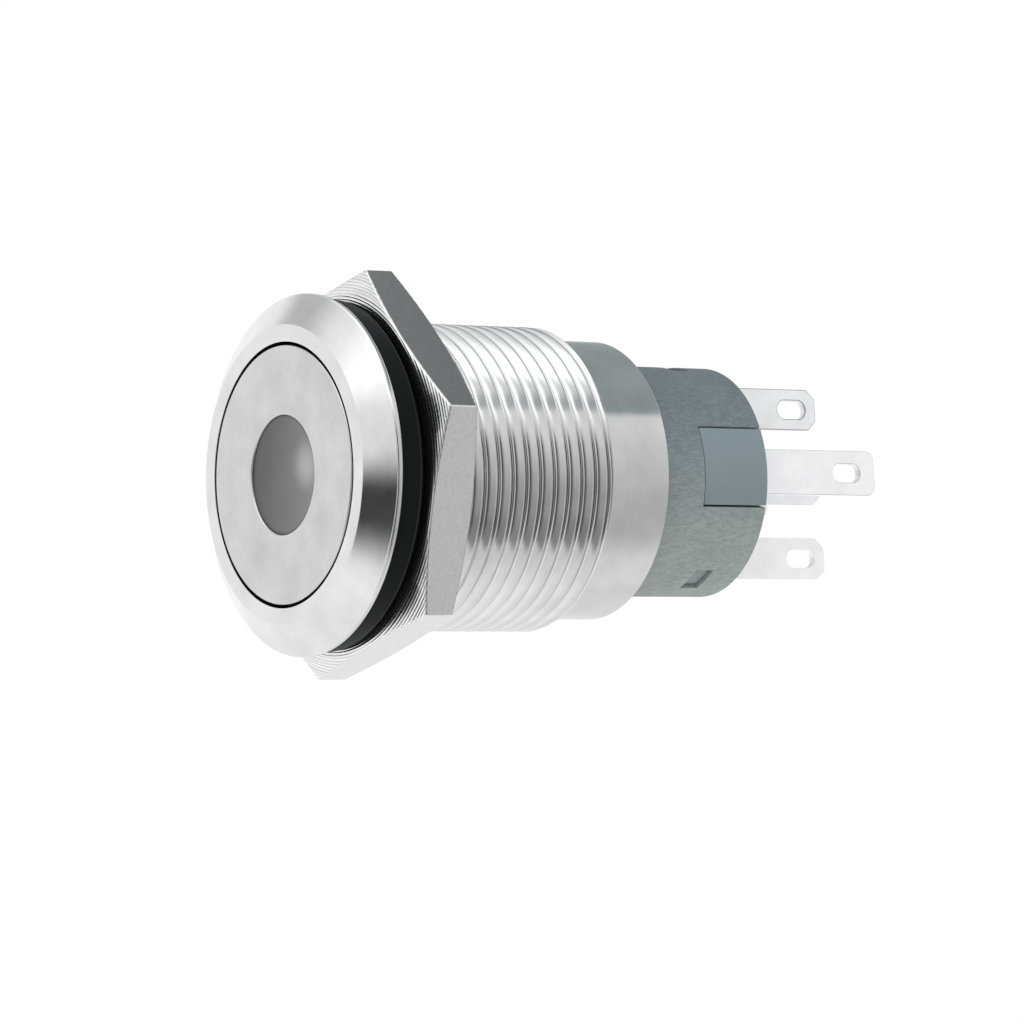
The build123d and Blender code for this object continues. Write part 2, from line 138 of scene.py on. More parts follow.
class Tree:
    """The nodes of one material or world, each added by its type, settings and sockets."""

    def __init__(self, owner):
        owner.use_nodes = True
        self.tree = owner.node_tree
        self.tree.nodes.clear()

    def add(self, kind, settings=None, sockets=None, output=None):
        """A new node. It hands on its first output, or the one that is asked for."""
        node = self.tree.nodes.new("ShaderNode" + kind)
        for name, value in (settings or {}).items():
            setattr(node, name, value)
        for name, value in (sockets or {}).items():
            if isinstance(value, Wire):
                self.tree.links.new(value.socket, node.inputs[name])
            else:
                node.inputs[name].default_value = value
        shown = [socket for socket in node.outputs if socket.enabled]
        return Wire(self, node.outputs[output] if output else (shown or [None])[0])

    def mix(self, share, first, second):
        """A colour between two colours."""
        first, second = (
            colour if isinstance(colour, Wire) else (*colour, 1.0) for colour in (first, second)
        )
        sockets = {mix_share: share, mix_first: first, mix_second: second}
        return self.add("Mix", {"data_type": "RGBA"}, sockets, mix_result)

    def split(self, vector):
        """The three parts of a vector."""
        return self.add("SeparateXYZ", None, {"Vector": vector}).beside("X", "Y", "Z")


studio_turn = math.radians(5.9)
world = bpy.data.worlds.new("studio")
bpy.context.scene.world = world
studio = Tree(world)
direction = studio.add("TexCoord", None, None, "Generated")
turned_in = studio.add(
    "VectorRotate", {"rotation_type": "Y_AXIS"}, {"Vector": direction, "Angle": studio_turn}
)

# Right, back and up run from -1 to 1, and each part of the tent lies between limits on them.
# A rise or fall is soft between its two numbers. A later part covers the earlier ones.
right, back, up = studio.split(turned_in)

# White sheets in front and at the left, and greyer ones at the right and behind
sheet_white = (1.06, 1.06, 1.06)
rear_grey = (0.87, 0.87, 0.87)
rear_part = right.rise(0.0, 0.45).maths("MAXIMUM", back.rise(0.3, 0.55))
tent = studio.mix(rear_part, sheet_white, rear_grey)

# A shaded wall at the right, down to the table's edge, darker in its middle and at its foot
wall_grey = (0.30, 0.30, 0.30)
card_black = (0.05, 0.05, 0.05)
wall_ends_strength = 0.55
wall_middle_strength = 0.87
wall_foot_strength = 0.36
table_edge = up.rise(-0.86, -0.82)
wall_part = right.rise(0.1, 0.5) * table_edge
wall_middle = back.rise(-0.4, -0.2) * back.fall(0.42, 0.55)
wall_ends_share = up.fall(-0.5, 0.65) * (1.0 - wall_middle) * wall_ends_strength
wall_middle_share = up.fall(-0.5, 0.45) * wall_middle * wall_middle_strength
tent = studio.mix(wall_part * (wall_ends_share + wall_middle_share), tent, wall_grey)
wall_foot = wall_part * wall_middle * up.fall(-0.72, -0.5) * wall_foot_strength
tent = studio.mix(wall_foot, tent, card_black)

# A light grey table below, and a black card on the wall
table_grey = (0.66, 0.66, 0.66)
table_strength = 0.6
table_part = up.fall(-0.84, -0.80) * right.rise(-0.2, 0.3) * table_strength
tent = studio.mix(table_part, tent, table_grey)
card = back.rise(-0.38, -0.2) * back.fall(0.15, 0.32) * right.rise(0.5, 0.7) * up.fall(0.15, 0.45)
tent = studio.mix(card * table_edge, tent, card_black)

# A bright lamp overhead, and a dim gap at its left
lamp_white = (1.5, 1.5, 1.5)
gap_grey = (0.64, 0.64, 0.64)
gap = (
    up.rise(0.55, 0.7) * right.rise(-0.90, -0.70) * right.fall(-0.6, -0.3) * back.fall(0.1, 0.4)
)
tent = studio.mix(gap, tent, gap_grey)
lamp_rear = right.fall(0.35, 0.5) * back.fall(0.46, 0.50)
lamp_part = back.fall(0.18, 0.35).maths("MAXIMUM", lamp_rear)
tent = studio.mix(up.rise(0.34, 0.6) * right.rise(-0.35, 0.05) * lamp_part, tent, lamp_white)

# A dark flag behind the lamp, with a sharp front edge and a fainter wing at the right
flag_grey = (0.335, 0.38, 0.385)
wing_strength = 0.75
flag_wing = back.rise(0.10, 0.24) * right.rise(0.42, 0.56) * up.fall(0.64, 0.76) * wing_strength
flag_part = back.rise(0.48, 0.52).maths("MAXIMUM", flag_wing)
flag_up = up.rise(0.53, 0.60).maths("MAXIMUM", right.fall(-0.6, -0.35) * up.rise(0.05, 0.55))
tent = studio.mix(flag_up * flag_part * back.fall(0.72, 0.8), tent, flag_grey)

# The black screen straight in front, and the dark room far behind
room_grey = (0.22, 0.22, 0.22)
front_screen = (
    back.fall(-0.93, -0.80) * up.fall(-0.12, 0.16) * up.rise(-0.58, -0.28)
    * right.rise(-0.36, -0.08)
)
tent = studio.mix(front_screen, tent, card_black)
room = back.rise(0.78, 0.88) * right.rise(-0.48, -0.36) * up.fall(0.15, 0.4) * up.rise(-0.7, -0.6)
tent = studio.mix(room, tent, room_grey)

# What lights the plastic: even light, most of it from below and cooler from above
light_from_below = (1.55, 1.50, 1.48)
light_from_above = (0.44, 0.49, 0.52)
backdrop_white = (1.0, 1.0, 1.0)
even_light = studio.mix(up * 0.5 + 0.5, light_from_below, light_from_above)
is_camera, is_glossy, is_sent = studio.add("LightPath").beside(
    "Is Camera Ray", "Is Glossy Ray", "Is Transmission Ray"
)
seen = studio.mix(is_glossy, backdrop_white, tent)
is_seen = (is_camera + is_glossy + is_sent).maths("MINIMUM", 1.0)
light = studio.mix(is_seen, even_light, seen)
background = studio.add("Background", None, {"Color": light, "Strength": 1.0})
studio.add("OutputWorld", None, {"Surface": background})


# Shell: head, threaded barrel and tail, turned from one stainless bar, with fine turning marks.
# The thread is a metric one of 1 mm pitch, with broad rolled crests and narrow round roots.
fine_sides = 192
merge_distance = 0.001 * mm
tool_reach = 1 * mm


def drawn(name, points):
    """An open line, made by carrying one vertex from point to point."""
    bpy.ops.object.select_all(action="DESELECT")
    bpy.ops.mesh.primitive_plane_add(size=1 * mm, location=points[0])
    piece = bpy.context.object
    piece.name = piece.data.name = name
    bpy.ops.object.transform_apply(location=True, rotation=True, scale=True)
    bpy.ops.object.mode_set(mode="EDIT")
    bpy.ops.mesh.select_all(action="SELECT")
    bpy.ops.mesh.merge(type="CENTER")
    for here, there in zip(points, points[1:]):
        step = Vector(there) - Vector(here)
        bpy.ops.mesh.extrude_vertices_move(TRANSFORM_OT_translate={"value": step})
    bpy.ops.mesh.select_all(action="SELECT")
    return piece


def closed_up(piece):
    """Doubles merged, faces turned outwards, back in object mode."""
    bpy.ops.mesh.select_all(action="SELECT")
    bpy.ops.mesh.remove_doubles(threshold=merge_distance)
    bpy.ops.mesh.delete_loose()
    bpy.ops.mesh.select_all(action="SELECT")
    bpy.ops.mesh.normals_make_consistent(inside=False)
    bpy.ops.object.mode_set(mode="OBJECT")
    return piece


def turned(name, outline, sides=fine_sides):
    """A closed (radius, y) outline, spun about the button's axis."""
    piece = drawn(name, [(radius, place, 0) for radius, place in outline + outline[:1]])
    bpy.ops.mesh.spin(steps=sides, angle=math.tau, center=(0, 0, 0), axis=(0, 1, 0))
    return closed_up(piece)


def finished(piece, modifier):
    """The piece after one of its modifiers is applied."""
    bpy.ops.object.select_all(action="DESELECT")
    piece.select_set(True)
    bpy.context.view_layer.objects.active = piece
    bpy.ops.object.modifier_apply(modifier=modifier.name)
    return piece


def worked(piece, operation, tool):
    """The piece joined to, cut by or kept within a tool, which is then thrown away."""
    cut = piece.modifiers.new("cut", "BOOLEAN")
    cut.operation = operation
    cut.object = tool
    cut.solver = "EXACT"
    finished(piece, cut)
    bpy.data.objects.remove(tool)
    return piece


def rounded(piece, width, segments=2, slot=-1):
    """The piece with its sharp edges broken, the new faces in their own slot if one is given."""
    sharp_angle = math.radians(28)
    edge = piece.modifiers.new("edge", "BEVEL")
    edge.width = width
    edge.segments = segments
    edge.limit_method = "ANGLE"
    edge.angle_limit = sharp_angle
    edge.miter_outer = "MITER_ARC"
    edge.material = slot
    return finished(piece, edge)


def smooth(piece, angle=32):
    """The piece shaded smoothly over edges of up to an angle in degrees."""
    bpy.ops.object.select_all(action="DESELECT")
    piece.select_set(True)
    bpy.context.view_layer.objects.active = piece
    bpy.ops.object.shade_smooth_by_angle(angle=math.radians(angle))
    shading = piece.modifiers.new("shading", "WEIGHTED_NORMAL")
    shading.keep_sharp = True
    shading.weight = 100
    return finished(piece, shading)


def threaded_rod(name, crest_radius, root_radius, start, end):
    """One pitch of the thread's outline, wound up the axis and cut off square at both ends."""
    spare_turns = 2
    points = []
    for share, height in thread_outline:
        radius = root_radius + (crest_radius - root_radius) * height
        points.append((radius, share * thread_pitch, 0))
    rod = drawn(name, points)
    bpy.ops.object.mode_set(mode="OBJECT")
    winding = rod.modifiers.new("winding", "SCREW")
    winding.axis = "Y"
    winding.screw_offset = thread_pitch
    winding.steps = winding.render_steps = thread_sides
    winding.iterations = math.ceil((end - start) / thread_pitch) + spare_turns
    finished(rod, winding)
    bpy.ops.object.mode_set(mode="EDIT")
    bpy.ops.mesh.select_all(action="SELECT")
    bpy.ops.mesh.remove_doubles(threshold=merge_distance)
    bpy.ops.transform.translate(value=(0, start - thread_pitch, 0))
    bpy.ops.mesh.select_all(action="SELECT")
    bpy.ops.mesh.bisect(
        plane_co=(0, start, 0), plane_no=(0, 1, 0), use_fill=True, clear_inner=True
    )
    bpy.ops.mesh.select_all(action="SELECT")
    bpy.ops.mesh.bisect(
        plane_co=(0, end, 0), plane_no=(0, 1, 0), use_fill=True, clear_outer=True
    )
    return closed_up(rod)


def shades(tint, spread):
    """A tint darker and lighter by a share of itself."""
    dark_tint = tuple(part * (1 - spread) for part in tint)
    light_tint = tuple(min(1.0, part * (1 + spread)) for part in tint)
    return dark_tint, light_tint


def turned_steel(name, tint, roughness, groove_width, groove_depth, mottle):
    """Bare metal with fine grooves round the axis, a faint mottle and no coating."""
    tint_spread = 0.25
    groove_share = 0.35
    gloss_range = 0.08
    finish = bpy.data.materials.new(name)
    metal = Tree(finish)
    place = metal.add("TexCoord", None, None, "Object")
    across, along, upward = metal.split(place)
    radius = (across * across + upward * upward) ** 0.5
    round_lines = metal.add("CombineXYZ", None, {
        "X": radius / groove_width, "Y": along / groove_width
    })
    grooves = metal.add("TexNoise", None, {
        "Vector": round_lines, "Scale": 1.0, "Detail": 3.0, "Roughness": 0.6
    })
    cloud = metal.add("TexNoise", None, {"Vector": place, "Scale": 0.45 / mm, "Detail": 3.0})
    tone = (cloud - 0.5) * mottle + (grooves - 0.5) * mottle * groove_share + 0.5
    colour = metal.mix(tone.held(), *shades(tint, tint_spread))
    bump = metal.add("Bump", None, {
        "Height": grooves, "Strength": 1.0, "Distance": groove_depth
    })
    gloss = cloud * gloss_range + (roughness - gloss_range / 2)
    surface = metal.add("BsdfPrincipled", None, {
        "Base Color": colour, "Metallic": 1.0, "Roughness": gloss, "Normal": bump
    })
    metal.add("OutputMaterial", None, {"Surface": surface})
    return finish


def paint(thing, finish):
    """One finish on every material slot of a piece or a node."""
    if not thing.material_slots:
        thing.data.materials.append(None)
    for slot in thing.material_slots:
        slot.link = "OBJECT"
        slot.material = finish


def placed(piece, body, slot, finish, *stands_for):
    """The piece rides on its body, takes its finish and stands for its nodes."""
    paint(piece, finish)
    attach(piece, body)
    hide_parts(*stands_for)


shell_low, shell_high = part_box("shell")
head_radius = shell_high.x
head_front = shell_low.y
tail_end = shell_high.y
head_rim_land = 0.365 * mm
head_flat_radius = 9.05 * mm
front_bore_radius = 8.03 * mm
web_front = 4.6 * mm
web_back = 6.8 * mm
web_bore_radius = 5.05 * mm
seal_groove_radius = 5.9 * mm
seal_groove_front = 5.15 * mm
seal_groove_back = 6.25 * mm
rear_bore_radius = 8.0 * mm
lip_radius = 7.334 * mm
lip_front = 20.33 * mm
tail_radius = 8.68 * mm
shell_edge = 0.08 * mm
thread_radius = 9.45 * mm
thread_root_radius = 9.17 * mm
thread_start = 0.7 * mm
thread_end = 16.33 * mm
thread_lead_in = 0.32 * mm
thread_pitch = 1.0 * mm
thread_sides = 96

# The bar under the thread: it stops short of the thread's end, and the thread reaches into it
core_radius = 9.0 * mm
core_end = thread_end - 0.5 * mm
core_overlap = 0.4 * mm

# Share of the pitch and share of the depth: a crest that leans to the front, the root, up again
thread_outline = [
    (0.00, 0.74), (0.05, 0.80), (0.30, 0.90), (0.55, 0.99), (0.60, 1.00),
    (0.645, 0.96), (0.70, 0.72), (0.75, 0.30), (0.79, 0.06), (0.82, 0.0),
    (0.855, 0.06), (0.90, 0.30), (0.955, 0.60), (1.00, 0.74),
]

shell_piece = turned("shell_turned", [
    (front_bore_radius, head_front),
    (head_flat_radius, head_front),
    (head_radius, -head_rim_land),
    (head_radius, 0),
    (core_radius, 0),
    (core_radius, core_end),
    (tail_radius, core_end),
    (tail_radius, tail_end),
    (lip_radius, tail_end),
    (lip_radius, lip_front),
    (rear_bore_radius, lip_front),
    (rear_bore_radius, web_back),
    (web_bore_radius, web_back),
    (web_bore_radius, seal_groove_back),
    (seal_groove_radius, seal_groove_back),
    (seal_groove_radius, seal_groove_front),
    (web_bore_radius, seal_groove_front),
    (web_bore_radius, web_front),
    (front_bore_radius, web_front),
])
rounded(shell_piece, shell_edge)
thread = threaded_rod(
    "thread_cut", thread_radius, thread_root_radius, 0, thread_end + tool_reach
)
worked(thread, "INTERSECT", turned("thread_room", [
    (tail_radius - core_overlap, thread_start),
    (thread_root_radius, thread_start),
    (thread_radius + tool_reach, thread_start + tool_reach),
    (thread_radius + tool_reach, thread_end - thread_lead_in - tool_reach),
    (thread_radius, thread_end - thread_lead_in),
    (thread_radius - thread_lead_in, thread_end),
    (tail_radius - core_overlap, thread_end),
]))
worked(shell_piece, "UNION", thread)
smooth(shell_piece)
shell_steel = turned_steel(
    "satin_steel", tint=(0.715, 0.715, 0.715), roughness=0.125,
    groove_width=0.09 * mm, groove_depth=0.0014 * mm, mottle=0.7
)
placed(shell_piece, "housing", "stainless", shell_steel, "shell")


# Gasket: a black rubber ring with a bevel at the back, pressed between head and panel.
# Moulded, so its skin is matt with a fine grain.
_, gasket_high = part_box("panel_gasket")
gasket_radius = gasket_high.x
gasket_back = gasket_high.y
gasket_bore_radius = 9.5 * mm
gasket_bevel = 0.50 * mm
gasket_edge = 0.09 * mm
gasket = turned("gasket", [
    (gasket_bore_radius, 0),
    (gasket_radius, 0),
    (gasket_radius, gasket_back - gasket_bevel),
    (gasket_radius - gasket_bevel, gasket_back),
    (gasket_bore_radius, gasket_back),
])
rounded(gasket, gasket_edge, segments=3)
smooth(gasket)

# Its rubber: a painted highlight makes the bevel a little paler, and painted shade makes the back
# the deepest black
skin_dark = (0.001, 0.003, 0.0025)
skin_light = (0.003, 0.007, 0.006)
bevel_painted_highlight = (0.030, 0.033, 0.032)
back_painted_shade = (0.0005, 0.0005, 0.0005)
rubber = bpy.data.materials.new("black_rubber")
skin = Tree(rubber)
skin_place = skin.add("TexCoord", None, None, "Object")
grain = skin.add("TexNoise", None, {"Vector": skin_place, "Scale": 9.0 / mm, "Detail": 2.0})
patches = skin.add("TexNoise", None, {"Vector": skin_place, "Scale": 0.5 / mm, "Detail": 3.0})
skin_facing = skin.split(skin.add("TexCoord", None, None, "Normal"))[1]
skin_back = skin_facing.rise(0.45, 0.6)
skin_bevel = skin_facing.rise(0.12, 0.28) * (1.0 - skin_back)
skin_colour = skin.mix(patches, skin_dark, skin_light)
# Painted highlight on the bevel, then painted shade on the back
skin_colour = skin.mix(skin_bevel, skin_colour, bevel_painted_highlight)
skin_colour = skin.mix(skin_back, skin_colour, back_painted_shade)
skin_bump = skin.add("Bump", None, {"Height": grain, "Strength": 0.5, "Distance": 0.01 * mm})
skin_roughness = patches * 0.2 + skin_back * 0.4 + 0.42
skin_surface = skin.add("BsdfPrincipled", None, {
    "Base Color": skin_colour, "Roughness": skin_roughness, "Specular IOR Level": 0.12,
    "Normal": skin_bump
})
skin.add("OutputMaterial", None, {"Surface": skin_surface})
placed(gasket, "housing", "rubber", rubber, "panel_gasket")


# Nut: cut from stainless hexagon bar, chamfered on both faces, tapped to the barrel's thread.
# Its faces keep coarser turning marks than the shell, and its flats the drawn bar's skin.
nut_low, nut_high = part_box("hex_nut")
nut_front = nut_low.y
nut_back = nut_high.y
nut_across_flats = 22 * mm
flat_half_angle = math.radians(30)
nut_corner_radius = nut_across_flats / 2 / math.cos(flat_half_angle)
nut_face_radius = 10.75 * mm
nut_chamfer = 0.55 * mm
nut_turn = math.radians(12.2)
nut_edge = 0.12 * mm
nut_mouth = 0.5 * mm
tap_clearance = 0.05 * mm
tap_reach = 2 * mm
bpy.ops.object.select_all(action="DESELECT")
bpy.ops.mesh.primitive_cylinder_add(
    vertices=6, radius=nut_corner_radius, depth=nut_back - nut_front,
    location=(0, (nut_front + nut_back) / 2, 0),
    rotation=(math.radians(90), flat_half_angle - nut_turn, 0)
)
nut = bpy.context.object
nut.name = nut.data.name = "nut"
bpy.ops.object.transform_apply(location=True, rotation=True, scale=True)

# The chamfers: a cone on each face, carried on a little past the face and past the corners
nut_outside = nut_corner_radius + tool_reach
chamfer_slope = nut_chamfer / (nut_corner_radius - nut_face_radius)
outside_depth = chamfer_slope * (nut_outside - nut_face_radius)
cone_reach = 0.2 * mm
cone_radius = nut_face_radius - cone_reach / chamfer_slope
worked(nut, "INTERSECT", turned("nut_room", [
    (0, nut_front - tool_reach),
    (cone_radius, nut_front - cone_reach),
    (nut_outside, nut_front + outside_depth),
    (nut_outside, nut_back - outside_depth),
    (cone_radius, nut_back + cone_reach),
    (0, nut_back + tool_reach),
]))
rounded(nut, nut_edge, segments=3)

# The bore's wider mouths, and the tap
mouth_radius = thread_radius + nut_mouth
worked(nut, "DIFFERENCE", turned("nut_mouths", [
    (0, nut_front - tool_reach),
    (mouth_radius + tool_reach, nut_front - tool_reach),
    (mouth_radius, nut_front),
    (mouth_radius - 2 * nut_mouth, nut_front + 2 * nut_mouth),
    (mouth_radius - 2 * nut_mouth, nut_back - 2 * nut_mouth),
    (mouth_radius, nut_back),
    (mouth_radius + tool_reach, nut_back + tool_reach),
    (0, nut_back + tool_reach),
]))
worked(nut, "DIFFERENCE", threaded_rod(
    "tap", thread_radius + tap_clearance, thread_root_radius + tap_clearance,
    0, nut_back + tap_reach
))
smooth(nut)

# Its steel: deep concentric tool marks on the two faces, a fine grain on the flats, and painted
# shade on one flat
nut_mark_pitch = 0.19 * mm
nut_mark_depth = 0.034 * mm
ring_share = 0.35
mark_middle = 0.6
mark_contrast = 1.1
grain_contrast = 0.3
# Painted shade: the flat facing up and to the right is darkened
shaded_flat = flat_half_angle + nut_turn
painted_shade_strength = 0.8
plain_tone = 0.8
nut_dark = (0.28, 0.28, 0.28)
nut_light = (0.96, 0.96, 0.96)
faced_steel = bpy.data.materials.new("faced_steel")
faced = Tree(faced_steel)
faced_place = faced.add("TexCoord", None, None, "Object")
faced_normal = faced.split(faced.add("TexCoord", None, None, "Normal"))
faced_across, _, faced_up = faced.split(faced_place)
faced_radius = (faced_across * faced_across + faced_up * faced_up) ** 0.5
mark_place = faced.add("CombineXYZ", None, {"X": faced_radius / nut_mark_pitch})
mark_noise = faced.add("TexNoise", None, {
    "Vector": mark_place, "Scale": 1.6, "Detail": 2.0, "Roughness": 0.6
})
ring_turns = faced_radius / nut_mark_pitch + mark_noise
rings = (ring_turns * math.tau).maths("SINE") * 0.5 + 0.5
marks = rings * ring_share + mark_noise * (1 - ring_share)
face_part = abs(faced_normal[1]).rise(0.3, 0.6)
nut_grain = faced.add("TexNoise", None, {
    "Vector": faced_place, "Scale": 5.0 / mm, "Detail": 3.0
})
flat_facing = faced_normal[0] * math.cos(shaded_flat) + faced_normal[2] * math.sin(shaded_flat)
grain_tone = (nut_grain - 0.5) * grain_contrast
mark_tone = (marks - mark_middle) * face_part * mark_contrast
painted_shade_tone = flat_facing.rise(0.9, 0.98) * painted_shade_strength
nut_tone = grain_tone + mark_tone - painted_shade_tone + plain_tone
nut_colour = faced.mix(nut_tone.held(), nut_dark, nut_light)
nut_bump = faced.add("Bump", None, {
    "Height": marks * face_part, "Strength": 1.0, "Distance": nut_mark_depth
})
nut_surface = faced.add("BsdfPrincipled", None, {
    "Base Color": nut_colour, "Metallic": 1.0, "Roughness": 0.22, "Normal": nut_bump
})
faced.add("OutputMaterial", None, {"Surface": nut_surface})
placed(nut, "nut", "nut_steel", faced_steel, "hex_nut")


# Button cap: a stainless cup with a hollow stem, which slides in the head's bore.
# Its face is turned like the head, with a small broken edge all round.
cap_low, cap_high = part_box("button_cap")
cap_radius = cap_high.x
cap_front = cap_low.y
stem_end = cap_high.y
cap_back = 0.35 * mm
skirt_end = 1.25 * mm
skirt_bore_radius = 7.1 * mm
stem_radius = 5.0 * mm
stem_bore_radius = 4.25 * mm
dot_hole_radius = 3.62 * mm
dot_seat = -0.65 * mm
clip_groove_front = 6.85 * mm
clip_groove_back = 7.45 * mm
clip_groove_radius = 4.65 * mm
cap_edge = 0.10 * mm
cap = turned("cap", [
    (dot_hole_radius, cap_front),
    (cap_radius, cap_front),
    (cap_radius, skirt_end),
    (skirt_bore_radius, skirt_end),
    (skirt_bore_radius, cap_back),
    (stem_radius, cap_back),
    (stem_radius, clip_groove_front),
    (clip_groove_radius, clip_groove_front),
    (clip_groove_radius, clip_groove_back),
    (stem_radius, clip_groove_back),
    (stem_radius, stem_end),
    (stem_bore_radius, stem_end),
    (stem_bore_radius, dot_seat),
    (dot_hole_radius, dot_seat),
])
rounded(cap, cap_edge, segments=3)
smooth(cap)
cap_steel = turned_steel(
    "cap_steel", tint=(0.585, 0.585, 0.585), roughness=0.22,
    groove_width=0.09 * mm, groove_depth=0.0012 * mm, mottle=0.8
)
placed(cap, "button", "cap_steel", cap_steel, "button_cap")


# Dot: a smoky translucent lens with a shallow hollow in front and a light pipe behind.
# Pressed into the cap from inside, so its flange sits on a step.
lens_low, lens_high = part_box("dot_lens")
lens_front = lens_low.y
lens_crown = lens_high.y
dot_radius = 3.6 * mm
hollow_depth = 0.12 * mm
flange_radius = 4.2 * mm
flange_back = 0.35 * mm
pipe_radius = 3.0 * mm
pipe_end = 2.2 * mm
lens_sides = 96
arc_steps = 8


def bowl(radius, rim, middle):
    """Points of a shallow dome or hollow, from its rim to the axis."""
    places = []
    for step in range(arc_steps + 1):
        share = 1 - step / arc_steps
        places.append((radius * share, middle + (rim - middle) * share ** 2))
    return places


lens = turned("lens", [
    (flange_radius, dot_seat),
    (dot_radius, dot_seat),
    *bowl(dot_radius, lens_front, lens_front + hollow_depth),
    *reversed(bowl(pipe_radius, pipe_end, lens_crown)),
    (pipe_radius, flange_back),
    (flange_radius, flange_back),
], lens_sides)
smooth(lens)

# Its smoke, with painted light: a painted highlight at the right, painted light growing towards the
# right and below, and painted shade at the rim
highlight_right = 2.4 * mm
highlight_height = 0.3 * mm
smoke_in_painted_shade = (0.080, 0.080, 0.080)
smoke_in_painted_light = (0.38, 0.38, 0.38)
smoke = bpy.data.materials.new("smoky_lens")
glass = Tree(smoke)
glass_place = glass.add("TexCoord", None, None, "Object")
glass_cloud = glass.add("TexNoise", None, {
    "Vector": glass_place, "Scale": 0.4 / mm, "Detail": 2.0
})
glass_across, _, glass_up = glass.split(glass_place)
glass_radius = (glass_across * glass_across + glass_up * glass_up) ** 0.5
highlight_across = glass_across - highlight_right
highlight_up = glass_up - highlight_height
highlight_distance = (highlight_across * highlight_across + highlight_up * highlight_up) ** 0.5
# The painted highlight, then painted light growing to the right and below over a random cloud
painted_highlight = highlight_distance.fall(0.2 * mm, 1.9 * mm)
smoke_and_painted_light = (
    glass_across / dot_radius * 0.22 - glass_up / dot_radius * 0.06
    + painted_highlight * 0.66 + glass_cloud * 0.15 + 0.09
)
# Painted shade darkens the dot towards its rim
glass_tone = smoke_and_painted_light * glass_radius.fall(dot_radius * 0.93, dot_radius * 0.99)
glass_colour = glass.mix(glass_tone.held(), smoke_in_painted_shade, smoke_in_painted_light)
glass_surface = glass.add("BsdfPrincipled", None, {
    "Base Color": glass_colour, "Roughness": 0.42, "IOR": 1.5
})
glass.add("OutputMaterial", None, {"Surface": glass_surface})
placed(lens, "button", "lens", smoke, "dot_lens")


def taken(name, node):
    """A copy of a node's own mesh, its triangles merged back into faces."""
    flat_angle = math.radians(1.0)
    piece = bpy.data.objects.new(name, nodes[node].data.copy())
    piece.data.name = name
    piece.data.materials.clear()
    bpy.context.scene.collection.objects.link(piece)
    bpy.ops.object.select_all(action="DESELECT")
    piece.select_set(True)
    bpy.context.view_layer.objects.active = piece
    bpy.ops.object.mode_set(mode="EDIT")
    bpy.ops.mesh.select_all(action="SELECT")
    bpy.ops.mesh.remove_doubles(threshold=merge_distance)
    bpy.ops.mesh.dissolve_limited(angle_limit=flat_angle)
    return closed_up(piece)


def plain_metal(name, tint, roughness, mottle, metallic=1.0):
    """Smooth metal with a faint cloudiness in its colour and polish."""
    gloss_range = 0.12
    finish = bpy.data.materials.new(name)
    metal = Tree(finish)
    place = metal.add("TexCoord", None, None, "Object")
    cloud = metal.add("TexNoise", None, {
        "Vector": place, "Scale": 0.7 / mm, "Detail": 4.0, "Roughness": 0.6
    })
    scratch_place = metal.add("Mapping", None, {"Vector": place, "Scale": (1.0, 0.12, 1.0)})
    scratches = metal.add("TexNoise", None, {
        "Vector": scratch_place, "Scale": 9.0 / mm, "Detail": 2.0
    })
    colour = metal.mix(cloud.rise(0.3, 0.7), *shades(tint, mottle))
    bump = metal.add("Bump", None, {
        "Height": scratches, "Strength": 0.5, "Distance": 0.002 * mm
    })
    gloss = cloud * gloss_range + (roughness - gloss_range / 2)
    surface = metal.add("BsdfPrincipled", None, {
        "Base Color": colour, "Metallic": metallic, "Roughness": gloss, "Normal": bump
    })
    metal.add("OutputMaterial", None, {"Surface": surface})
    return finish


spring_steel = plain_metal(
    "spring_steel", tint=(0.55, 0.545, 0.53), roughness=0.26, mottle=0.08
)
wire_smooth_angle = 60
for name, node in (("return_coil", "return_spring"), ("contact_coil", "contact_spring")):
    wire = taken(name, node)
    rounding = wire.modifiers.new("rounding", "SUBSURF")
    rounding.levels = rounding.render_levels = 1
    finished(wire, rounding)
    smooth(wire, wire_smooth_angle)
    placed(wire, "housing", "spring_steel", spring_steel, node)
    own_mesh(wire)


# Contact housing: grey glass-filled moulding, a sleeve behind the shell with a notch and windows.
# The terminal base's key and lugs snap into them.
housing_low, housing_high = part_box("contact_housing")
housing_front = housing_low.y
sleeve_end = housing_high.y
body_radius = housing_high.x
body_wall = 0.55 * mm
body_inner_radius = body_radius - body_wall
sleeve_radius = 7.234 * mm
sleeve_bore_radius = 6.404 * mm
step_thickness = 0.8 * mm
body_step = lip_front - step_thickness
sleeve_edge = 0.07 * mm
notch_start = 24.55 * mm
notch_middle = math.radians(1.2)
notch_half_angle = math.radians(20.5)
window_start = 25.8 * mm
window_width = 1.3 * mm

# Each window's middle and half its spread, counted from +X towards +Z
windows = [
    (math.radians(90), math.radians(21.5)),
    (math.radians(295), math.radians(8.5)),
]


def sector(name, inner, outer, start, end, middle, half_angle):
    """A stretch of a ring about the axis, its middle at an angle counted from +X towards +Z."""
    sector_steps = 24
    piece = drawn(name, [
        (inner, start, 0), (outer, start, 0), (outer, end, 0), (inner, end, 0), (inner, start, 0)
    ])
    bpy.ops.mesh.remove_doubles(threshold=merge_distance)
    bpy.ops.mesh.edge_face_add()
    bpy.ops.mesh.spin(
        steps=sector_steps, angle=2 * half_angle, center=(0, 0, 0), axis=(0, 1, 0)
    )
    closed_up(piece)
    angles = [math.atan2(vertex.co.z, vertex.co.x) for vertex in piece.data.vertices]
    piece.rotation_euler = (0, (max(angles) + min(angles)) / 2 - middle, 0)
    bpy.ops.object.transform_apply(location=False, rotation=True, scale=False)
    return piece


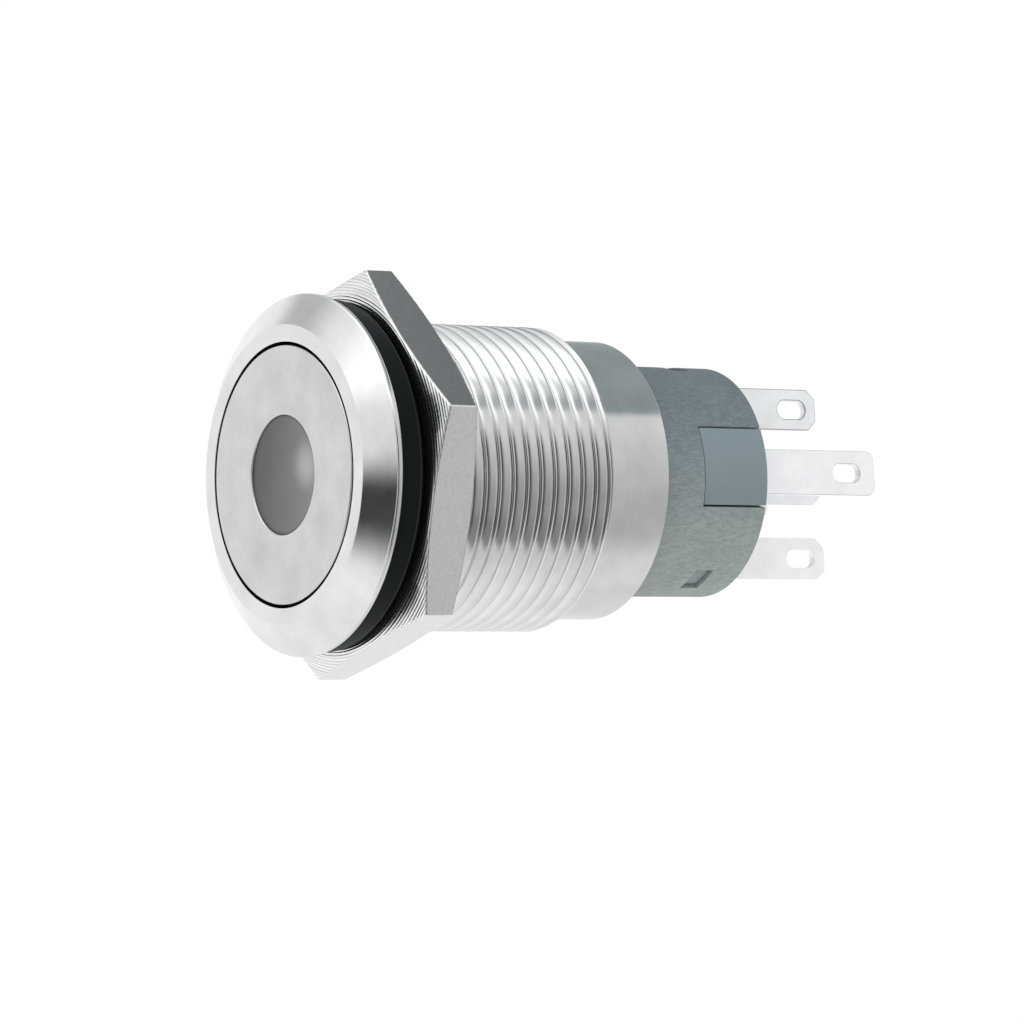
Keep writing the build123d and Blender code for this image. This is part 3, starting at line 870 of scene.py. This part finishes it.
housing = turned("sleeve", [
    (body_inner_radius, housing_front),
    (body_radius, housing_front),
    (body_radius, lip_front),
    (sleeve_radius, lip_front),
    (sleeve_radius, sleeve_end),
    (sleeve_bore_radius, sleeve_end),
    (sleeve_bore_radius, body_step),
    (body_inner_radius, body_step),
])
cut_inner = sleeve_bore_radius - tool_reach
cut_outer = sleeve_radius + tool_reach
worked(housing, "DIFFERENCE", sector(
    "notch", cut_inner, cut_outer, notch_start, sleeve_end + tool_reach,
    notch_middle, notch_half_angle
))
for middle, half_angle in windows:
    worked(housing, "DIFFERENCE", sector(
        "window", cut_inner, cut_outer, window_start, window_start + window_width,
        middle, half_angle
    ))
rounded(housing, sleeve_edge)
smooth(housing)


def moulded(name, tint, dark_tint, roughness, streak, painted_light_tinges=None, spread=5 * mm):
    """Matt moulded plastic: a cloudy tone, fine swirled scuffs, and painted light as a tinge
    shifting with height.
    """
    swirl_reach = 1.7 * mm
    scuff_turn = math.radians(-35)
    scuff_stretch = (1.0, 0.3, 1.0)
    finish = bpy.data.materials.new(name)
    plastic = Tree(finish)
    place = plastic.add("TexCoord", None, None, "Object")
    cloud = plastic.add("TexNoise", None, {"Vector": place, "Scale": 0.22 / mm, "Detail": 3.0})
    swirl = plastic.add("TexNoise", None, {
        "Vector": place, "Scale": 0.3 / mm, "Detail": 1.0
    }, "Color")
    swirl = plastic.add("VectorMath", {"operation": "SCALE"}, {
        "Vector": swirl, "Scale": swirl_reach
    })
    swirled = plastic.add("VectorMath", {"operation": "ADD"}, {0: place, 1: swirl})
    stretched = plastic.add("Mapping", None, {
        "Vector": swirled, "Rotation": (scuff_turn, 0.0, 0.0), "Scale": scuff_stretch
    })
    scuffs = plastic.add("TexNoise", None, {
        "Vector": stretched, "Scale": 5.4 / mm, "Detail": 5.0, "Roughness": 0.74,
        "Distortion": 0.7
    })
    share = cloud.rise(0.3, 0.7) * (1 - streak) + scuffs.rise(0.33, 0.67) * streak
    colour = plastic.mix(share, dark_tint, tint)
    # Painted light: the colour is tinged from its lower tinge to its upper one with height
    if painted_light_tinges:
        height = plastic.split(place)[2]
        painted_light_tinge = plastic.mix(height.rise(-spread, spread), *painted_light_tinges)
        colour = plastic.add("VectorMath", {"operation": "MULTIPLY"}, {0: colour, 1: painted_light_tinge})
    bump = plastic.add("Bump", None, {
        "Height": scuffs, "Strength": 0.6, "Distance": 0.02 * mm
    })
    gloss = scuffs * 0.15 + (roughness - 0.07)
    surface = plastic.add("BsdfPrincipled", None, {
        "Base Color": colour, "Roughness": gloss, "Specular IOR Level": 0.2, "Normal": bump
    })
    plastic.add("OutputMaterial", None, {"Surface": surface})
    return finish


# Its tinges are painted light: a little warmer towards the bottom, cooler towards the top
sleeve_grey = moulded(
    "sleeve_grey", tint=(0.275, 0.315, 0.306), dark_tint=(0.170, 0.206, 0.210),
    roughness=0.62, streak=0.75, painted_light_tinges=[(0.95, 0.94, 0.92), (0.92, 0.93, 1.0)]
)
placed(housing, "housing", "sleeve_moulding", sleeve_grey, "contact_housing")


# Terminal base: the same plastic, smoother, with five slots that hold the blades.
# Its key fills the sleeve's notch, and a lug shows in each window.
base_edge = 0.06 * mm
base = taken("base", "terminal_base")
rounded(base, base_edge)
smooth(base)
# Its tinges are painted light and shade: lighter and cooler towards the top, darker towards the
# bottom
base_grey = moulded(
    "base_grey", tint=(0.222, 0.272, 0.288), dark_tint=(0.202, 0.248, 0.262),
    roughness=0.5, streak=0.4, painted_light_tinges=[(0.80, 0.80, 0.77), (1.18, 1.18, 1.22)],
    spread=3 * mm
)
placed(base, "housing", "base_moulding", base_grey, "terminal_base")


# Blades: stamped brass, silver plated, with a slot for solder near each end.
# They are pushed into the base from behind, and the inner ends carry the contacts.
blade_edge = 0.06 * mm
silvered = plain_metal(
    "silver_plate", tint=(0.93, 0.93, 0.94), roughness=0.30, mottle=0.04, metallic=0.3
)
sheared = plain_metal(
    "sheared_edge", tint=(0.40, 0.40, 0.41), roughness=0.34, mottle=0.12, metallic=0.5
)
for node in (
    "terminal_nc", "terminal_common", "terminal_no", "lamp_terminal_plus", "lamp_terminal_minus"
):
    blade = taken(node + "_blade", node)
    blade.data.materials.append(None)
    blade.data.materials.append(None)
    rounded(blade, blade_edge, slot=1)
    smooth(blade)
    placed(blade, "housing", "silvered_brass", silvered, node)
    blade.material_slots[1].material = sheared


# Inner works: a spring-steel clip, rubber seals, a white plastic plunger and lamp post, silver
# contacts, and an epoxy lamp with its resistor and tinned leads, all held in shell and housing.
# None of them shows from outside, and each keeps its own form.
white_plastic = moulded(
    "white_moulding", tint=(0.80, 0.79, 0.76), dark_tint=(0.74, 0.73, 0.70),
    roughness=0.45, streak=0.2
)
contact_metal = plain_metal(
    "contact_silver", tint=(0.85, 0.83, 0.80), roughness=0.25, mottle=0.06
)
tinned = plain_metal("tinned_wire", tint=(0.75, 0.74, 0.72), roughness=0.3, mottle=0.06)
epoxy = moulded(
    "lamp_epoxy", tint=(0.75, 0.72, 0.62), dark_tint=(0.70, 0.66, 0.56),
    roughness=0.2, streak=0.1
)
resistor_coat = moulded(
    "resistor_coat", tint=(0.45, 0.30, 0.16), dark_tint=(0.38, 0.25, 0.13),
    roughness=0.4, streak=0.2
)
for finish, names in (
    (rubber, ("stem_seal", "housing_seal")),
    (spring_steel, ("retaining_ring",)),
    (white_plastic, ("plunger", "lamp_holder")),
    (contact_metal, ("moving_contact", "contact_nc", "contact_no")),
    (epoxy, ("led_lamp",)),
    (tinned, ("lamp_lead_plus", "lamp_lead_minus")),
    (resistor_coat, ("lamp_resistor",)),
):
    for name in names:
        paint(nodes[name], finish)
